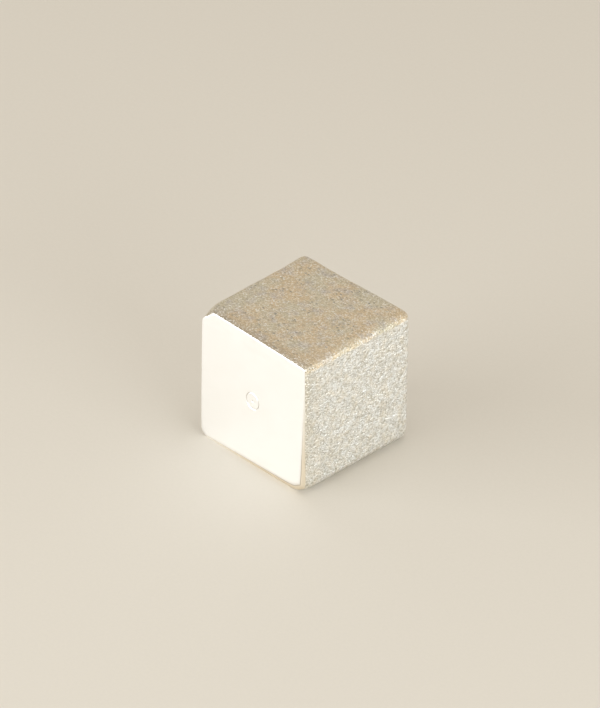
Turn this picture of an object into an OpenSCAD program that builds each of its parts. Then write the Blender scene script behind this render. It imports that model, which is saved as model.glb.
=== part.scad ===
// Solid sand-cast metal cube with one face ground flat and polished to a mirror.
// The origin is at the centre of the base. +Z is up, and the polished face looks along -Y, to within its skew.

/* [Block] */
// Width of the block from left to right
block_w = 50; // [30:1:100]
// Depth of the finished block from the polished face to the back
block_d = 50; // [30:1:100]
// Height of the block
block_h = 50; // [30:1:100]

/* [Cast edges] */
// Radius that the mould leaves on every edge and corner
edge_r = 3; // [1:0.1:8]

/* [Polished face] */
// Thickness ground off the front of the casting at the right edge of the face
ground_in = 1.2; // [0.2:0.1:8]
// Degrees that the face is ground out of square, which makes the block thinner on the left
face_skew = 3; // [0:0.5:8]
// Reach of the worn-off top left corner along the two edges of the face
corner_clip = 5; // [3:0.1:12]
// Reach of the worn-off corner along the top, towards the back
corner_back = 8; // [4:0.5:20]

/* [Ring mark] */
// Outside diameter of the plain ring struck in the middle of the face
ring_d = 6.4; // [3:0.1:20]
// Width of the ring's groove
ring_line = 0.45; // [0.2:0.05:1.2]
// Depth of the ring's groove
ring_depth = 0.15; // [0.05:0.05:0.5]
// Diameter of the dimple in the middle of the ring
dimple_d = 0.9; // [0.3:0.1:2]

/* [Hidden] */
$fn = 64;
// The casting before grinding is deeper than the finished block, all of it at the front
cast_d = block_d + ground_in;
face_y = -block_d / 2;
mid_z = block_h / 2;
// The right edge of the face, which is its foremost line, lies on the rounded edge of the casting
pivot_x = block_w / 2 - edge_r + sqrt(pow(edge_r, 2) - pow(max(0, edge_r - ground_in), 2));
// Distance from that line to the left side, along X
face_run = block_w / 2 + pivot_x;
// A ball of this radius, sunk by the groove's depth, leaves a dimple of the stated diameter
dimple_ball_r = (pow(dimple_d / 2, 2) + pow(ring_depth, 2)) / (2 * ring_depth);
// Extra length of every cutting shape past the metal it removes
over = 1;

// Box with its centre at the origin and every edge and corner rounded to radius r
module rounded_box(w, d, h, r) {
    inner_w = w - 2 * r;
    inner_d = d - 2 * r;
    inner_h = h - 2 * r;
    cube([w, inner_d, inner_h], center = true);
    cube([inner_w, d, inner_h], center = true);
    cube([inner_w, inner_d, h], center = true);
    for (sx = [-1, 1], sy = [-1, 1])
        translate([sx * inner_w / 2, sy * inner_d / 2, 0])
            cylinder(h = inner_h, r = r, center = true);
    for (sx = [-1, 1], sz = [-1, 1])
        translate([sx * inner_w / 2, 0, sz * inner_h / 2])
            rotate([90, 0, 0]) cylinder(h = inner_d, r = r, center = true);
    for (sy = [-1, 1], sz = [-1, 1])
        translate([0, sy * inner_d / 2, sz * inner_h / 2])
            rotate([0, 90, 0]) cylinder(h = inner_w, r = r, center = true);
    for (sx = [-1, 1], sy = [-1, 1], sz = [-1, 1])
        translate([sx * inner_w / 2, sy * inner_d / 2, sz * inner_h / 2])
            sphere(r = r);
}

// The block as it leaves the mould
module casting() {
    translate([0, face_y - ground_in + cast_d / 2, mid_z])
        rounded_box(block_w, cast_d, block_h, edge_r);
}

// Puts a shape drawn round the foot of the face's right edge, with -Y out of the face, where the face is
module at_face() {
    translate([pivot_x, face_y, 0]) rotate([0, 0, -face_skew]) children();
}

// What the grinding wheel takes off the front
module ground_off() {
    at_face()
        translate([-block_w / 2, -block_w / 2, mid_z])
            cube([2 * block_w, block_w, block_h + 2 * over], center = true);
}

// The top left corner of the polished face, worn off by a plane that leans back along the top
module worn_corner() {
    cutter = 4 * max(corner_clip, corner_back);
    steep = 1 / corner_clip;
    shallow = 1 / corner_back;
    sunk = 1 / norm([steep, shallow, steep]);
    translate([-block_w / 2, face_y + face_run * tan(face_skew), block_h])
        rotate([0, atan(steep / norm([steep, shallow])), atan(shallow / steep)])
            translate([sunk - cutter / 2, 0, 0])
                cube(cutter, center = true);
}

// Plain ring with a dimple at its centre, sunk into the middle of the polished face
module ring_mark() {
    at_face()
        translate([-face_run / cos(face_skew) / 2, 0, mid_z])
            rotate([90, 0, 0]) {
                rotate_extrude()
                    translate([ring_d / 2 - ring_line, -ring_depth])
                        square([ring_line, ring_depth + over]);
                translate([0, 0, dimple_ball_r - ring_depth])
                    sphere(r = dimple_ball_r);
            }
}

module cast_cube() {
    color("antiquewhite")
        difference() {
            casting();
            ground_off();
            worn_corner();
            ring_mark();
        }
}

cast_cube();
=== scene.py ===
"""Looks of the cast metal cube: one closed mesh with sand-cast faces and one ground, polished face."""
import itertools
import math

import bpy
import numpy as np
from mathutils import Matrix, Vector


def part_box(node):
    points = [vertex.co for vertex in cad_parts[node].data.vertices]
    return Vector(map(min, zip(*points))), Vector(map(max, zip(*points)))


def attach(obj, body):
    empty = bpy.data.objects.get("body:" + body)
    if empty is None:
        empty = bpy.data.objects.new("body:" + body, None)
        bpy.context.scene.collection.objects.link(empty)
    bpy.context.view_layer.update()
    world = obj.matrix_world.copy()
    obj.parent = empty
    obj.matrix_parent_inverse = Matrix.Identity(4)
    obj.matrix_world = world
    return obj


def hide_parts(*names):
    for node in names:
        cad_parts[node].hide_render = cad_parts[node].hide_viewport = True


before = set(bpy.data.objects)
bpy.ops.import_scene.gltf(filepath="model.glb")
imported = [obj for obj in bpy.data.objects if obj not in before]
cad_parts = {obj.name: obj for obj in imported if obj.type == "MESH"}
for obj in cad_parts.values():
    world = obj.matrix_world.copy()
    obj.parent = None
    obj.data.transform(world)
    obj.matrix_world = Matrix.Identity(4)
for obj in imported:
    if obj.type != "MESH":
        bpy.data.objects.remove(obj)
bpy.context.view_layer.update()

MM = 0.001

# ---------------------------------------------------------------- shape of the block, as in the CAD part
LOW, HIGH = (np.array(corner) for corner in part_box("cast_cube"))
MIDDLE = (LOW + HIGH) / 2
EDGE_R = 3.0 * MM
# Thickness ground off the front of the casting at the right edge of the face
GROUND_IN = 1.2 * MM
CAST_FRONT = LOW[1] - GROUND_IN
# The face's right edge is its foremost line, and the face leans back from it towards the left
SKEW_DEGREES = 3
SKEW = math.tan(math.radians(SKEW_DEGREES))
PIVOT_X = HIGH[0] - EDGE_R + math.sqrt(EDGE_R**2 - (EDGE_R - GROUND_IN) ** 2)
RING_R = 3.2 * MM
RING_LINE = 0.45 * MM
RING_DEPTH = 0.15 * MM
DIMPLE_R = 0.45 * MM

# ---------------------------------------------------------------- wear that rounds some edges further
TOP_LEFT_FRONT = np.array([LOW[0], LOW[1] + SKEW * (PIVOT_X - LOW[0]), HIGH[2]])
TOP_LEFT_BACK = np.array([LOW[0], HIGH[1], HIGH[2]])
BOTTOM_RIGHT_FRONT = np.array([HIGH[0], LOW[1], LOW[2]])
BOTTOM_RIGHT_BACK = np.array([HIGH[0], HIGH[1], LOW[2]])
# The worn-off top left corner: its reach along the edges of the face, and along the top towards the back
CLIP = 5.0 * MM
CLIP_BACK = 8.0 * MM
CLIP_LEAN = CLIP / CLIP_BACK
CLIP_DEPTH = CLIP / math.sqrt(2 + CLIP_LEAN**2)
# Each flat of wear: where it faces, a sharp corner of the block, its depth below it, how soft its edges are
WEAR = (
    ((-1.0, -CLIP_LEAN, 1.0), TOP_LEFT_FRONT, CLIP_DEPTH, 0.45 * MM),
    ((-1.0, 0.0, 1.0), TOP_LEFT_FRONT, 1.3 * MM, 0.8 * MM),
    ((0.0, 1.0, 1.0), HIGH, 1.3 * MM, 0.8 * MM),
    ((1.0, 1.0, 0.0), HIGH, 1.45 * MM, 0.8 * MM),
    ((1.0, 0.0, -1.0), BOTTOM_RIGHT_BACK, 1.7 * MM, 0.9 * MM),
    ((1.0, 0.9, -1.0), BOTTOM_RIGHT_BACK, 2.6 * MM, 0.6 * MM),
    ((0.55, -0.6, -1.0), BOTTOM_RIGHT_FRONT, 2.5 * MM, 0.8 * MM),
    ((1.0, 1.0, 1.0), HIGH, 2.7 * MM, 0.8 * MM),
)
# The softened edge of a flat of wear has a long thin tail, which ends where the wear falls to this
LEAST_WEAR = 0.03 * MM
# The back left corner of the top is hardly worn, within about this distance and by this share
SPARED_REACH = 8.0 * MM
SPARED_SHARE = 0.9

# ---------------------------------------------------------------- rim that the polishing wheel rolled over
# Width in millimetres: a least width, a part that grows towards the bottom, and one towards the lower right
RIM_LEAST = 0.05
RIM_AT_BOTTOM = 0.6
RIM_AT_LOWER_RIGHT = 1.6
# A fine line sets the rim off from the face: its depth, its place as a share of the rim's width, its breadth
RIM_LINE_DEPTH = 0.13 * MM
RIM_LINE_SHARE = 0.13
RIM_LINE_BREADTH = 0.06
# Breadth of the painted dark reflection along the rim's line
RIM_LINE_TONE_BREADTH = 0.09

# ---------------------------------------------------------------- mesh density
FLAT_STEPS = 114
SIDE_STEPS = 106
ARC_STEPS = 7
# Closer rows in the first stretch behind the polished face, which get further apart by this power
FRONT_STEPS = 13
FRONT_DEPTH = 5.7 * MM
FRONT_POWER = 1.15
# The top right edge is nearly square at the polished face, and rounds off this fast over the rows behind it
SQUARE_FADE = 2.2
SQUARE_FADE_ROWS = 6
# Rings across the rolled rim, from its outside in, each as a share of its width
RIM_SHARES = (0.86, 0.68, 0.48, 0.29, 0.20, 0.13, 0.06, 0.0)
# Rings across the flat of the face, each as a share of the way from its middle to the rim
FLAT_SHARES = (0.97, 0.7, 0.4)

# ---------------------------------------------------------------- relief of the cast skin
GRAIN_SIZE = 0.80 * MM
GRAIN_HEIGHT = 0.17 * MM
FINE_SIZE = 0.85 * MM
FINE_HEIGHT = 0.07 * MM
WAVE_SIZE = 9 * MM
WAVE_HEIGHT = 0.10 * MM
EDGE_WAVE_SIZE = 2.4 * MM
EDGE_WAVE_HEIGHT = 0.20 * MM
# Burnishing starts where the surface turns upward, and its border is broken up by noise of this size. The
# same share gives the top its darker tan, which is partly painted shade
BURNISH_BORDER = 1.3 * MM
BURNISHED_GRAIN_TOP = 0.02 * MM
# How far the polishing wheel has rubbed the right side, the worn corner and the top behind the face, whose
# crease is also darkened with painted shade
SIDE_RUB_REACH = 2.4 * MM
CORNER_RUB_REACH = 6.0 * MM
CREASE_REACH = 1.7 * MM
# The crease between the face and the top is broken down by this much
CREASE_DROP = 0.32 * MM
# The relief grows over the first rows of points behind the face, whose outline is much evener than the skin
FIRST_ROWS_RELIEF = (0.3, 0.5, 0.7, 0.85)

# ---------------------------------------------------------------- pits and short scratches in the top
# Places on the top face, in millimetres from its centre, round which pits gather
PIT_CLUSTERS = ((-13.8, -20.0), (-5.6, -14.5), (1.5, -10.5), (4.5, 19.5), (13.5, 5.0))
PITS_PER_CLUSTER = 8
PIT_SCATTER = 1.6
LONE_PITS = 34
LONE_PIT_REACH = 22
PIT_SEED = 12


def hashed(cells, seed):
    """A number from -1 to 1 for each whole-number cell. The large constants only scatter the bits."""
    n = cells[..., 0] * 73856093 ^ cells[..., 1] * 19349663 ^ cells[..., 2] * 83492791 ^ seed * 2654435761
    n = (n ^ (n >> 13)) * 1274126177 & 0x7FFFFFFF
    n = (n ^ (n >> 16)) * 668265263 & 0x7FFFFFFF
    return n / 0x3FFFFFFF - 1.0


def smooth_noise(points, size, seed):
    """Smooth noise from -1 to 1, with features of about the given size."""
    scaled = points / size
    cells = np.floor(scaled).astype(np.int64)
    part = scaled - cells
    part = part * part * (3 - 2 * part)
    total = np.zeros(len(points))
    for corner in itertools.product((0, 1), repeat=3):
        weight = np.prod(np.where(corner, part, 1 - part), axis=1)
        total += weight * hashed(cells + np.array(corner), seed)
    return total


def cell_distance(points, size, seed):
    """Distance to the nearest of many scattered seeds, in units of size: low in a grain, high between."""
    scaled = points / size
    cells = np.floor(scaled).astype(np.int64)
    nearest = np.full(len(points), 9.0)
    for step in itertools.product((-1, 0, 1), repeat=3):
        cell = cells + np.array(step)
        jitter = np.stack([hashed(cell, seed + axis) for axis in range(3)], axis=1)
        gap = cell + 0.5 + 0.5 * jitter - scaled
        nearest = np.minimum(nearest, (gap * gap).sum(axis=1))
    return np.sqrt(nearest)


def unit(vectors):
    """The same directions, each one unit long."""
    return vectors / np.linalg.norm(vectors, axis=-1, keepdims=True)


def worn(points):
    """Points that stick out past a flat of wear go back to it."""
    from_spared = np.linalg.norm(points - TOP_LEFT_BACK, axis=1)
    spared = SPARED_SHARE * np.exp(-((from_spared / SPARED_REACH) ** 2))
    for towards, sharp, depth, soft in WEAR:
        normal = unit(np.array(towards))
        past = (points - sharp) @ normal + depth
        past = (past + np.sqrt(past * past + soft**2)) / 2
        past = np.maximum(past - LEAST_WEAR, 0) * (1 - spared)
        # A flat that leans towards the polished face moves points along X and Z only
        sideways = unit(np.array([towards[0], max(towards[1], 0.0), towards[2]]))
        points = points - past[:, None] * sideways / (sideways @ normal)
    return points


def face_plane(x):
    """Y of the ground face at a given X."""
    return LOW[1] + SKEW * (PIVOT_X - x)


def rim_width(points):
    """Width of the rolled rim beside each point: almost nothing at the top left, most at the lower right."""
    across = np.clip((points[:, 0] - LOW[0]) / (HIGH[0] - LOW[0]), 0, 1)
    down = np.clip(1 - (points[:, 2] - LOW[2]) / (HIGH[2] - LOW[2]), 0, 1)
    return (RIM_LEAST + RIM_AT_BOTTOM * down**4 + RIM_AT_LOWER_RIGHT * down**0.9 * across) * MM


def rim_drop(width, share=1.0):
    """How far the rim has rolled back, at a share of its width from the inside out."""
    wide = np.clip(width / (1.2 * MM) - 0.25, 0, 1)
    line = RIM_LINE_DEPTH * np.exp(-(((share - RIM_LINE_SHARE) / RIM_LINE_BREADTH) ** 2)) * wide
    return width * (0.30 * share + 0.12 * share**3) + line


# ---------------------------------------------------------------- grid lines of the rounded block
def grid_lines(low, high):
    """For each grid line across one axis: where its arc has its centre, and the lean of the surface."""
    lean = np.tan(np.linspace(math.pi / 4, 0, ARC_STEPS, endpoint=False))
    flat = np.linspace(low + EDGE_R, high - EDGE_R, FLAT_STEPS + 1)
    centre = np.concatenate([np.full(ARC_STEPS, flat[0]), flat, np.full(ARC_STEPS, flat[-1])])
    return centre, np.concatenate([-lean, np.zeros(FLAT_STEPS + 1), lean[::-1]])


def perimeter(count_x, count_z):
    """Grid index pairs once round the front, starting at the lower left corner."""
    right = [(i, 0) for i in range(count_x)]
    up = [(count_x, k) for k in range(count_z)]
    left = [(count_x - i, count_z) for i in range(count_x)]
    down = [(0, count_z - k) for k in range(count_z)]
    return np.array(right + up + left + down)


def outward(across, front):
    """Directions out of the edges that run to the back. The top right one is nearly square in front."""
    top_right = (across[:, 0] > 0) & (across[:, 2] > 0)
    power = np.where(top_right, 2.5 + 5.0 * front, 2.0)
    length = (np.abs(across[:, 0]) ** power + np.abs(across[:, 2]) ** power) ** (1 / power)
    return across / length[:, None]


def band(near, far, size):
    """Faces between two closed rows of points, given the number of each row's first point."""
    return [(near + i, near + (i + 1) % size, far + (i + 1) % size, far + i) for i in range(size)]


def tube_and_back():
    """The five cast sides: rows of points round the block from the face's outline to the back, and the back.

    A point is given by its arc's centre and a direction out of it. The faces and the length of a row follow.
    """
    x_centre, x_lean = grid_lines(LOW[0], HIGH[0])
    z_centre, z_lean = grid_lines(LOW[2], HIGH[2])
    count_x = len(x_centre) - 1
    count_z = len(z_centre) - 1
    loop = perimeter(count_x, count_z)
    size = len(loop)
    across = np.stack([x_lean[loop[:, 0]], np.zeros(size), z_lean[loop[:, 1]]], axis=1)
    middle = np.stack([x_centre[loop[:, 0]], np.zeros(size), z_centre[loop[:, 1]]], axis=1)
    sharp = middle + EDGE_R * unit(across)
    start = face_plane(sharp[:, 0]) + rim_drop(rim_width(sharp)) - CAST_FRONT
    rows = []
    for step in range(FRONT_STEPS):
        behind = start + (FRONT_DEPTH - start) * (step / FRONT_STEPS) ** FRONT_POWER
        lean_back = np.clip((EDGE_R - behind) / EDGE_R, 0, 1)
        front = math.exp(-SQUARE_FADE * step / FRONT_STEPS)
        out = outward(across, front) * np.sqrt(1 - lean_back**2)[:, None]
        out[:, 1] = -lean_back
        centre = middle.copy()
        centre[:, 1] = CAST_FRONT + np.maximum(behind, EDGE_R)
        rows.append((centre, out))
    y_flat = np.linspace(CAST_FRONT + FRONT_DEPTH, HIGH[1] - EDGE_R, SIDE_STEPS + 1)
    for step, y in enumerate(y_flat):
        front = math.exp(-SQUARE_FADE - step / SQUARE_FADE_ROWS)
        rows.append((middle + [0, y, 0], outward(across, front)))
    for lean in np.tan(np.linspace(0, math.pi / 4, ARC_STEPS + 1))[1:]:
        rows.append((middle + [0, y_flat[-1], 0], unit(outward(across, 0.0) + [0, lean, 0])))
    inner = np.array(list(itertools.product(range(1, count_x), range(1, count_z))))
    inner_x, inner_z = inner.T
    back_middle = np.stack([x_centre[inner_x], np.full(len(inner), y_flat[-1]), z_centre[inner_z]], axis=1)
    back_out = unit(np.stack([x_lean[inner_x], np.ones(len(inner)), z_lean[inner_z]], axis=1))
    middles = np.concatenate([centre for centre, _ in rows] + [back_middle])
    outs = np.concatenate([out for _, out in rows] + [back_out])
    faces = []
    for row in range(len(rows) - 1):
        faces += band(row * size, (row + 1) * size, size)
    last = (len(rows) - 1) * size
    pairs = np.concatenate([loop, inner]).tolist()
    number = {tuple(pair): last + index for index, pair in enumerate(pairs)}
    for i, k in itertools.product(range(count_x), range(count_z)):
        faces.append((number[i, k], number[i + 1, k], number[i + 1, k + 1], number[i, k + 1]))
    return middles, outs, faces, size


# ---------------------------------------------------------------- relief
def pits(points):
    """Depth of the small pits and short scratches in the top face at each point."""
    random = np.random.default_rng(PIT_SEED)
    depth = np.zeros(len(points))
    near_top = points[:, 2] > HIGH[2] - EDGE_R
    top = points[near_top]
    spots = []
    for cluster in PIT_CLUSTERS:
        for _ in range(PITS_PER_CLUSTER):
            spots.append(np.array(cluster) * MM + random.normal(0, PIT_SCATTER, 2) * MM)
    spots += list(random.uniform(-LONE_PIT_REACH, LONE_PIT_REACH, (LONE_PITS, 2)) * MM)
    found = np.zeros(len(top))
    for spot in spots:
        radius = random.uniform(0.28, 0.42) * MM
        deep = random.uniform(0.08, 0.22) * MM
        stretch = random.uniform(1.0, 2.4)
        turn = random.normal(0.2, 0.5)
        gap = top[:, :2] - MIDDLE[:2] - spot
        along = (gap @ [math.cos(turn), math.sin(turn)]) / stretch
        side = gap @ [-math.sin(turn), math.cos(turn)]
        found = np.maximum(found, deep * np.exp(-(along**2 + side**2) / radius**2))
    depth[near_top] = found
    return depth


def cast_relief(points, outs):
    """Height of the cast skin over the smooth block, and the shares from 0 to 1 that its material reads.

    The shares are how burnished the skin is, which also sets the top's darker tone, partly painted shade; how
    hollow, which sets painted shade; how rubbed; and how near the crease along the top, which sets painted
    shade there too.
    """
    upward = outs[:, 2]
    burnish_and_top_shade = (upward - 0.11) / 0.20 + 0.6 * smooth_noise(points, BURNISH_BORDER, 31)
    burnish_and_top_shade = np.clip(burnish_and_top_shade, 0, 1) * (upward > 0.03)
    on_edge = 1 - np.clip((np.abs(unit(outs)).max(axis=1) - 0.72) / 0.27, 0, 1)
    cups = cell_distance(points, GRAIN_SIZE, 5) - 0.5
    fine = smooth_noise(points, FINE_SIZE, 21)
    grain = GRAIN_HEIGHT * cups + FINE_HEIGHT * fine
    worn_grain = np.minimum(grain, BURNISHED_GRAIN_TOP) * (0.5 + 0.9 * on_edge)
    mixed = grain * (1 - burnish_and_top_shade) * (1 + 0.7 * on_edge) + worn_grain * burnish_and_top_shade
    waves = WAVE_HEIGHT * smooth_noise(points, WAVE_SIZE, 3)
    waves += EDGE_WAVE_HEIGHT * on_edge * smooth_noise(points, EDGE_WAVE_SIZE, 8)
    sunk = pits(points)
    # How hollow the grain is, with the pits; the material paints shade there
    hollow = np.clip(0.5 - grain / (0.22 * MM), 0, 1) * (1 - 0.5 * burnish_and_top_shade) + np.clip(sunk / (0.2 * MM), 0, 1)
    behind_face = points[:, 1] - face_plane(points[:, 0])
    from_corner = np.linalg.norm(points - TOP_LEFT_FRONT, axis=1)
    rubbed = np.exp(-behind_face / SIDE_RUB_REACH) * (outs[:, 0] > 0.5)
    rubbed = np.maximum(rubbed, 1.4 - from_corner / CORNER_RUB_REACH)
    # Near the crease along the top, which is broken down there and darkened with painted shade
    crease = np.exp(-behind_face / CREASE_REACH) * (upward > 0.5)
    shares = {"burnish_and_top_shade": burnish_and_top_shade, "hollow": hollow, "rubbed": rubbed, "crease": crease}
    return mixed + waves - sunk, {name: np.clip(share, 0, 1) for name, share in shares.items()}


# ---------------------------------------------------------------- polished face
def smoothed(loop, reach):
    """A closed loop of points, each one averaged with its neighbours."""
    return sum(np.roll(loop, step, axis=0) for step in range(-reach, reach + 1)) / (2 * reach + 1)


def on_face(across, depth):
    """Points at the given X and Z, this far behind the plane of the ground face."""
    return np.stack([across[:, 0], face_plane(across[:, 0]) + depth, across[:, 1]], axis=1)


def face_rings(outline):
    """Rings of points from just inside the outline inwards, and the point in the middle.

    They cross the rolled rim, the flat of the face, the ring groove and the dimple.
    """
    flat = outline[:, [0, 2]]
    even = smoothed(flat, 5)
    run = np.roll(even, -2, axis=0) - np.roll(even, 2, axis=0)
    inward = smoothed(unit(np.stack([-run[:, 1], run[:, 0]], axis=1)), 3)
    width = rim_width(outline)
    inner = flat + inward * width[:, None]
    middle = np.array([(LOW[0] + PIVOT_X) / 2, MIDDLE[2]])
    reach = inner - middle
    rings = [on_face(inner + (flat - inner) * share, rim_drop(width, share)) for share in RIM_SHARES]
    rings += [on_face(middle + reach * share, 0.0) for share in FLAT_SHARES]
    rings += [on_face(middle + unit(reach) * radius, depth) for radius, depth in mark_profile()]
    return rings, on_face(middle[None, :], RING_DEPTH)


def face_tones(outline):
    """Tones at each point of the outline, the rings and the middle, for the material of the face to read.

    Each point has three: how far out on the rim it is, which sets a painted tan reflection, how near the
    rim's line, which sets a painted dark reflection, and how deep in the mark, which sets painted shade.
    """
    # The painted rim reflection and its line show only where the rim is wide
    shown = np.clip(rim_width(outline) / (1.1 * MM) - 0.3, 0, 1)
    rows = [(1.0, 0.0, 0.0)]
    for share in RIM_SHARES:
        near_line = math.exp(-(((share - RIM_LINE_SHARE) / RIM_LINE_TONE_BREADTH) ** 2))
        rows.append((min(1.0, share / 0.3), near_line, 0.0))
    rows += [(0.0, 0.0, 0.0) for _ in FLAT_SHARES]
    rows += [(0.0, 0.0, depth / RING_DEPTH) for _, depth in mark_profile()]
    tones = np.repeat(np.array(rows), len(outline), axis=0)
    tones[:, :2] *= np.tile(shown, len(rows))[:, None]
    return np.concatenate([tones, [(0.0, 0.0, 1.0)]])


def mark_profile():
    """Radius and depth of each ring of points across the struck ring and its dimple, from outside in."""
    half = RING_LINE / 2
    groove_middle = RING_R - half
    profile = [(groove_middle + 1.3 * half, 0.0)]
    for share in np.linspace(1, -1, 7):
        depth = RING_DEPTH * max(0.0, math.cos(share * math.pi / 2)) ** 0.8
        profile.append((groove_middle + share * half, depth))
    profile += [(groove_middle - 1.3 * half, 0.0), (1.4 * DIMPLE_R, 0.0)]
    for share in np.linspace(1.0, 0.2, 5):
        profile.append((DIMPLE_R * share, RING_DEPTH * (1 - share**2)))
    return profile


# ---------------------------------------------------------------- one closed mesh
def skin_points(middles, outs, size):
    """Points of the cast skin with its relief and wear, and the shares that go with them."""
    smooth = middles + EDGE_R * outs
    height, shares = cast_relief(smooth, outs)
    shift = height[:, None] * unit(outs)
    for row, growth in enumerate(FIRST_ROWS_RELIEF):
        shift[row * size:(row + 1) * size] *= growth
    points = worn(smooth + shift)
    points[:, 2] -= CREASE_DROP * shares["crease"] ** 3
    # The first row is the outline of the ground face
    outline = points[:size]
    outline[:, 1] = face_plane(outline[:, 0]) + rim_drop(rim_width(outline))
    # Nothing of the skin reaches below the surface that the cube stands on
    points[:, 2] = np.maximum(points[:, 2], LOW[2])
    return points, shares


def build_cube():
    """The cube as one closed mesh, with the tones that its two materials read stored on its points."""
    middles, outs, faces, size = tube_and_back()
    points, shares = skin_points(middles, outs, size)
    rings, centre = face_rings(points[:size])
    cast_faces = len(faces)
    cast_points = len(points)
    # The rings join on to the outline, which is the first row of the skin
    previous = 0
    for index in range(len(rings)):
        current = cast_points + index * size
        faces += band(current, previous, size)
        previous = current
    tip = previous + size
    faces += [(previous + (i + 1) % size, previous + i, tip) for i in range(size)]
    points = np.concatenate([points] + rings + [centre])
    mesh = bpy.data.meshes.new("cube")
    mesh.from_pydata(points.tolist(), [], faces)
    polished = np.zeros(len(faces), np.int32)
    polished[cast_faces:] = 1
    mesh.polygons.foreach_set("material_index", polished)
    mesh.polygons.foreach_set("use_smooth", np.ones(len(faces), bool))
    for name, values in shares.items():
        store(mesh, name, np.concatenate([values, np.zeros(len(points) - cast_points)]))
    for name, values in zip(("rim", "rim_line", "mark"), face_tones(points[:size]).T):
        store(mesh, name, np.concatenate([values[:size], np.zeros(cast_points - size), values[size:]]))
    mark_outline_sharp(mesh, size)
    cube = bpy.data.objects.new("cube", mesh)
    bpy.context.collection.objects.link(cube)
    return cube


def store(mesh, name, values):
    """Keeps one number for each point, for a material to read."""
    layer = mesh.attributes.new(name, "FLOAT", "POINT")
    layer.data.foreach_set("value", values.astype(np.float32))


def mark_outline_sharp(mesh, size):
    """Creases the outline of the ground face, whose points come first in the mesh."""
    ends = np.zeros(len(mesh.edges) * 2, np.int32)
    mesh.edges.foreach_get("vertices", ends)
    ends = ends.reshape(-1, 2)
    layer = mesh.attributes.new("sharp_edge", "BOOLEAN", "EDGE")
    layer.data.foreach_set("value", (ends < size).all(axis=1))


# ---------------------------------------------------------------- materials
class Nodes:
    """A material's node tree, with short calls that add and join nodes."""

    def __init__(self, name):
        self.material = bpy.data.materials.new(name)
        self.material.use_nodes = True
        self.tree = self.material.node_tree
        self.shader = self.tree.nodes["Principled BSDF"]

    def add(self, kind, **settings):
        """A new node with the given settings."""
        node = self.tree.nodes.new(kind)
        for key, value in settings.items():
            setattr(node, key, value)
        return node

    def join(self, output, target):
        """Links an output to a socket."""
        self.tree.links.new(output, target)

    def place(self, stretch=None):
        """Coordinates on the object, each axis scaled as asked."""
        place = self.add("ShaderNodeTexCoord").outputs["Object"]
        if stretch:
            mapping = self.add("ShaderNodeMapping")
            mapping.inputs["Scale"].default_value = stretch
            self.join(place, mapping.inputs["Vector"])
            place = mapping.outputs["Vector"]
        return place

    def attribute(self, name):
        """A number stored on the points of the mesh."""
        return self.add("ShaderNodeAttribute", attribute_name=name).outputs["Fac"]

    def noise(self, size, detail=3.0, rough=0.5, stretch=None):
        """Noise from 0 to 1 with features of about the given size in metres."""
        node = self.add("ShaderNodeTexNoise")
        node.inputs["Scale"].default_value = 1 / size
        node.inputs["Detail"].default_value = detail
        node.inputs["Roughness"].default_value = rough
        self.join(self.place(stretch), node.inputs["Vector"])
        return node.outputs["Fac"]

    def cells(self, size, stretch=None):
        """Distance to the nearest of many scattered seeds."""
        node = self.add("ShaderNodeTexVoronoi")
        node.inputs["Scale"].default_value = 1 / size
        self.join(self.place(stretch), node.inputs["Vector"])
        return node.outputs["Distance"]

    def ranged(self, value, low, high, to_low=0.0, to_high=1.0):
        """A value moved from one range to another, and held within it."""
        node = self.add("ShaderNodeMapRange")
        ranges = {"From Min": low, "From Max": high, "To Min": to_low, "To Max": to_high}
        for socket, number in ranges.items():
            node.inputs[socket].default_value = number
        self.join(value, node.inputs["Value"])
        return node.outputs["Result"]

    def times(self, first, second):
        """An output multiplied by a number or by another output."""
        node = self.add("ShaderNodeMath", operation="MULTIPLY")
        self.join(first, node.inputs[0])
        if isinstance(second, float):
            node.inputs[1].default_value = second
        else:
            self.join(second, node.inputs[1])
        return node.outputs[0]

    def mixed(self, share, first, second):
        """Colours, or outputs that carry colours, mixed by a share."""
        node = self.add("ShaderNodeMix", data_type="RGBA")
        for name, value in (("Factor_Float", share), ("A_Color", first), ("B_Color", second)):
            socket = next(s for s in node.inputs if s.identifier == name)
            if isinstance(value, tuple):
                socket.default_value = (*value, 1)
            else:
                self.join(value, socket)
        return next(s for s in node.outputs if s.identifier == "Result_Color")

    def bump(self, height, distance, strength=1.0, below=None):
        """A normal bent by a height, on top of another bump where one is given."""
        node = self.add("ShaderNodeBump")
        node.inputs["Distance"].default_value = distance
        if isinstance(strength, float):
            node.inputs["Strength"].default_value = strength
        else:
            self.join(strength, node.inputs["Strength"])
        self.join(height, node.inputs["Height"])
        if below is not None:
            self.join(below, node.inputs["Normal"])
        return node.outputs["Normal"]


BRIGHT_METAL = (0.96, 0.97, 0.97)
CREAM_METAL = (0.94, 0.895, 0.815)
# Tan tones of the top, darker than the sides partly as painted shade
TAN_METAL = (0.775, 0.635, 0.44)
PALE_TAN_METAL = (0.725, 0.665, 0.515)
GREY_METAL = (0.63, 0.595, 0.585)
# Painted shade for the hollows and pits, and the tone of the dark specks
HOLLOW_SHADE_AND_SPECK_METAL = (0.42, 0.39, 0.32)
DOT_METAL = (0.30, 0.29, 0.26)
# Painted glints and sparkle
PAINTED_GLINT_METAL = (0.98, 0.97, 0.94)
RUBBED_METAL = (0.70, 0.64, 0.50)
# Painted shade along the crease
PAINTED_CREASE_SHADE = (0.40, 0.34, 0.26)
POLISHED_METAL = (0.97, 0.97, 0.965)
CLOUDED_METAL = (0.955, 0.95, 0.935)
# Painted reflections on the rolled rim: a tan tone, and a dark one along its line
PAINTED_RIM_REFLECTION = (0.83, 0.755, 0.63)
PAINTED_RIM_LINE_REFLECTION = (0.44, 0.37, 0.28)
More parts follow.
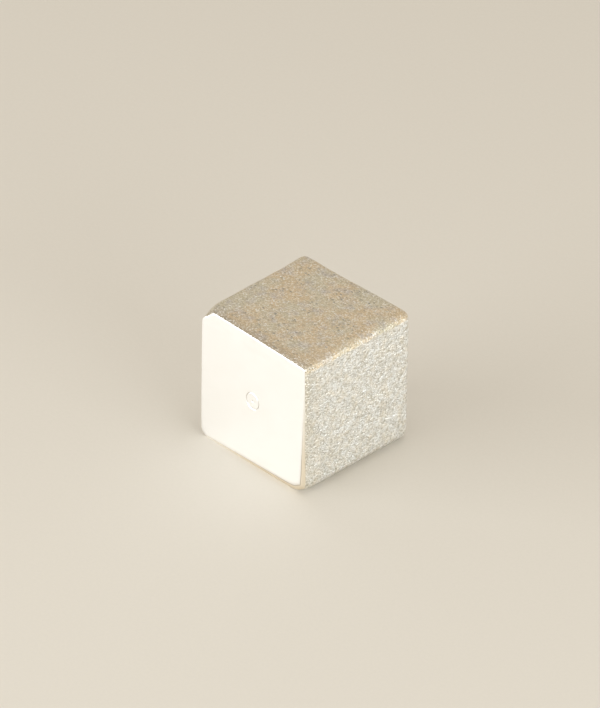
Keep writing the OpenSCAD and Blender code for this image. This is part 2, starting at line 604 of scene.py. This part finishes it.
# Painted shade in the struck mark
PAINTED_MARK_SHADE = (0.50, 0.47, 0.42)
FLOOR_DARK = (0.69, 0.655, 0.59)
FLOOR_LIGHT = (0.73, 0.69, 0.625)
FLOOR_ROUGHNESS = 0.9


def cast_metal():
    """Sand-cast skin: bright broken grain on the sides, and a darker, burnished and mottled top whose darker
    tan is partly painted shade. Painted shade also darkens hollows and the crease, and painted glints
    brighten specks and spots.
    """
    n = Nodes("cast_metal")
    burnish_and_top_shade = n.attribute("burnish_and_top_shade")

    def by_skin(side, top):
        """A number that is one thing on the sides and another on the burnished top."""
        return n.ranged(burnish_and_top_shade, 0, 1, side, top)

    # Broad patches of colour
    patches = n.ranged(n.noise(13 * MM, 5.0, 0.62), 0.44, 0.58)
    clouds = n.ranged(n.noise(4.6 * MM, 4.0, 0.6), 0.50, 0.70)
    warmth = n.ranged(n.noise(3.5 * MM, 6.0, 0.7), 0.42, 0.62)
    top_tone = n.mixed(patches, TAN_METAL, PALE_TAN_METAL)
    top_tone = n.mixed(n.times(clouds, 0.75), top_tone, GREY_METAL)
    side_tone = n.mixed(warmth, BRIGHT_METAL, CREAM_METAL)
    # The upward-facing top gets the darker tan tone: partly painted shade for the dim reflection it takes,
    # partly its mottled colour
    tone = n.mixed(burnish_and_top_shade, side_tone, top_tone)
    tone = n.mixed(n.times(n.attribute("rubbed"), 0.8), tone, RUBBED_METAL)
    # Painted shade along the crease between the face and the top
    tone = n.mixed(n.times(n.attribute("crease"), 0.85), tone, PAINTED_CREASE_SHADE)
    # Grain: painted shade in the hollows and pits, painted sparkle in bright specks, dark specks, gathered
    # dots and a few painted glints
    # Painted shade in the hollows of the grain and in the pits
    painted_hollow_shade = n.times(n.ranged(n.attribute("hollow"), 0.28, 0.95), by_skin(0.75, 0.85))
    tone = n.mixed(painted_hollow_shade, tone, HOLLOW_SHADE_AND_SPECK_METAL)
    specks = n.noise(0.62 * MM, 2.0, 0.75)
    # Painted sparkle: smoother specks get a near-white colour
    painted_sparkle_specks = n.times(n.ranged(specks, 0.52, 0.66), by_skin(0.8, 0.9))
    tone = n.mixed(painted_sparkle_specks, tone, PAINTED_GLINT_METAL)
    dark_specks = n.times(n.ranged(specks, 0.50, 0.33), by_skin(0.6, 0.5))
    tone = n.mixed(dark_specks, tone, HOLLOW_SHADE_AND_SPECK_METAL)
    dots = n.ranged(n.cells(1.1 * MM, (0.55, 1.0, 1.0)), 0.33, 0.17)
    dots = n.times(dots, n.ranged(n.noise(5.5 * MM, 3.0, 0.6), 0.52, 0.60))
    tone = n.mixed(n.times(dots, by_skin(0.1, 0.85)), tone, DOT_METAL)
    # Painted glints: near-white spots on the burnished top
    painted_glints = n.ranged(n.cells(2.3 * MM), 0.14, 0.07)
    tone = n.mixed(n.times(painted_glints, burnish_and_top_shade), tone, PAINTED_GLINT_METAL)
    n.join(tone, n.shader.inputs["Base Color"])
    n.join(n.ranged(specks, 0.3, 0.7, 0.58, 0.42), n.shader.inputs["Roughness"])
    n.shader.inputs["Metallic"].default_value = 1.0
    grain = n.bump(n.cells(0.60 * MM), 0.26 * MM, by_skin(1.0, 0.55))
    grain = n.bump(n.noise(0.40 * MM, 3.0, 0.65), 0.10 * MM, by_skin(0.8, 1.0), grain)
    n.join(grain, n.shader.inputs["Normal"])
    return n.material


def polished_metal():
    """Ground and polished face: nearly even, with faint clouds and hairline wheel marks. The rolled rim gets
    a painted tan reflection and a painted dark line, and the struck mark painted shade.
    """
    n = Nodes("polished_metal")
    clouds = n.noise(14 * MM, 2.0, 0.5)
    hairs = n.noise(0.5 * MM, 2.0, 0.5, (0.06, 1.0, 1.0))
    tone = n.mixed(n.ranged(clouds, 0.35, 0.7, 0.0, 0.4), POLISHED_METAL, CLOUDED_METAL)
    # Painted reflection: the rolled rim gets a tan tone, and its line a dark one
    tone = n.mixed(n.attribute("rim"), tone, PAINTED_RIM_REFLECTION)
    tone = n.mixed(n.times(n.attribute("rim_line"), 0.85), tone, PAINTED_RIM_LINE_REFLECTION)
    # Painted shade: the struck mark darkens with the depth of its groove
    tone = n.mixed(n.times(n.attribute("mark"), 0.75), tone, PAINTED_MARK_SHADE)
    n.join(tone, n.shader.inputs["Base Color"])
    n.join(n.ranged(hairs, 0.3, 0.7, 0.40, 0.44), n.shader.inputs["Roughness"])
    n.shader.inputs["Metallic"].default_value = 1.0
    n.join(n.bump(hairs, 0.004 * MM, 0.5), n.shader.inputs["Normal"])
    return n.material


def floor_material():
    """Plain pale paper with a faint grain."""
    n = Nodes("floor_paper")
    fibres = n.noise(1.2 * MM, 4.0, 0.6)
    n.join(n.mixed(fibres, FLOOR_DARK, FLOOR_LIGHT), n.shader.inputs["Base Color"])
    n.shader.inputs["Roughness"].default_value = FLOOR_ROUGHNESS
    n.join(n.bump(fibres, 0.03 * MM, 0.4), n.shader.inputs["Normal"])
    return n.material


# ---------------------------------------------------------------- stage, lights and camera
FLOOR_HALF = 2.5
WORLD_COLOUR = (0.605, 0.56, 0.49)
WORLD_STRENGTH = 1.05
CAMERA_AZIMUTH = 44.05
CAMERA_ELEVATION = 33.25
CAMERA_ROLL = 1.0
CAMERA_DISTANCE = 5.0
SENSOR_WIDTH = 36.0
# Height of the picture at the cube, and where the cube's middle lies from the picture's centre
FRAME_HEIGHT = 230.8 * MM
AIM_RIGHT = 1.43 * MM
AIM_UP = -6.38 * MM


def build_floor():
    """A wide pale sheet that the cube stands on."""
    corners = [
        (-FLOOR_HALF, -FLOOR_HALF, LOW[2]),
        (FLOOR_HALF, -FLOOR_HALF, LOW[2]),
        (FLOOR_HALF, FLOOR_HALF, LOW[2]),
        (-FLOOR_HALF, FLOOR_HALF, LOW[2]),
    ]
    mesh = bpy.data.meshes.new("floor")
    mesh.from_pydata(corners, [], [(0, 1, 2, 3)])
    mesh.materials.append(floor_material())
    floor = bpy.data.objects.new("floor", mesh)
    bpy.context.collection.objects.link(floor)


def direction(azimuth, elevation):
    """Unit vector from the cube to a place: azimuth 0 is -Y, in front of the polished face, and 90 is +X."""
    a, e = math.radians(azimuth), math.radians(elevation)
    return Vector((math.sin(a) * math.cos(e), -math.cos(a) * math.cos(e), math.sin(e)))


def softbox(name, azimuth, elevation, distance, width, height, radiance, colour):
    """A rectangular soft light aimed at the cube. Its power follows from its radiance and size."""
    light = bpy.data.lights.new(name, "AREA")
    light.shape = "RECTANGLE"
    light.size = width
    light.size_y = height
    light.energy = radiance * width * height * math.pi
    light.color = colour
    lamp = bpy.data.objects.new(name, light)
    towards = direction(azimuth, elevation)
    lamp.location = Vector(MIDDLE) + towards * distance
    lamp.rotation_mode = "QUATERNION"
    lamp.rotation_quaternion = towards.to_track_quat("Z", "Y")
    bpy.context.collection.objects.link(lamp)


def build_lights():
    """Four soft boxes and a dim even surround."""
    softbox(
        "front_left_box", azimuth=-26, elevation=7, distance=1.0,
        width=1.1, height=0.22, radiance=14.7, colour=(0.935, 0.975, 1.0),
    )
    softbox(
        "overhead_box", azimuth=136, elevation=86, distance=1.1,
        width=0.7, height=0.7, radiance=1.4, colour=(1.0, 0.99, 0.98),
    )
    softbox(
        "right_box", azimuth=128, elevation=3.5, distance=1.0,
        width=1.6, height=0.16, radiance=2.9, colour=(0.86, 0.95, 1.0),
    )
    softbox(
        "side_box", azimuth=80, elevation=14, distance=1.0,
        width=0.7, height=0.3, radiance=5.8, colour=(0.92, 0.975, 1.0),
    )
    world = bpy.data.worlds.new("studio")
    world.use_nodes = True
    background = world.node_tree.nodes["Background"]
    background.inputs["Color"].default_value = (*WORLD_COLOUR, 1)
    background.inputs["Strength"].default_value = WORLD_STRENGTH
    bpy.context.scene.world = world


def build_camera():
    """A far camera at the photo's viewing angle, aimed so that the cube lies where it does there."""
    data = bpy.data.cameras.new("camera")
    data.sensor_width = SENSOR_WIDTH
    data.lens = SENSOR_WIDTH * CAMERA_DISTANCE / FRAME_HEIGHT
    data.clip_start = 0.01
    data.clip_end = 20
    camera = bpy.data.objects.new("camera", data)
    back = direction(CAMERA_AZIMUTH, CAMERA_ELEVATION)
    roll = Matrix.Rotation(math.radians(CAMERA_ROLL), 3, "Z")
    turn = back.to_track_quat("Z", "Y").to_matrix() @ roll
    aim = Vector(MIDDLE) - turn @ Vector((AIM_RIGHT, AIM_UP, 0))
    camera.matrix_world = Matrix.Translation(aim + back * CAMERA_DISTANCE) @ turn.to_4x4()
    bpy.context.collection.objects.link(camera)
    bpy.context.scene.camera = camera


build_camera()
build_floor()
build_lights()
bpy.context.scene.view_settings.view_transform = "Standard"

cube = build_cube()
cube.data.materials.append(cast_metal())
cube.data.materials.append(polished_metal())
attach(cube, "root")
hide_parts("cast_cube")
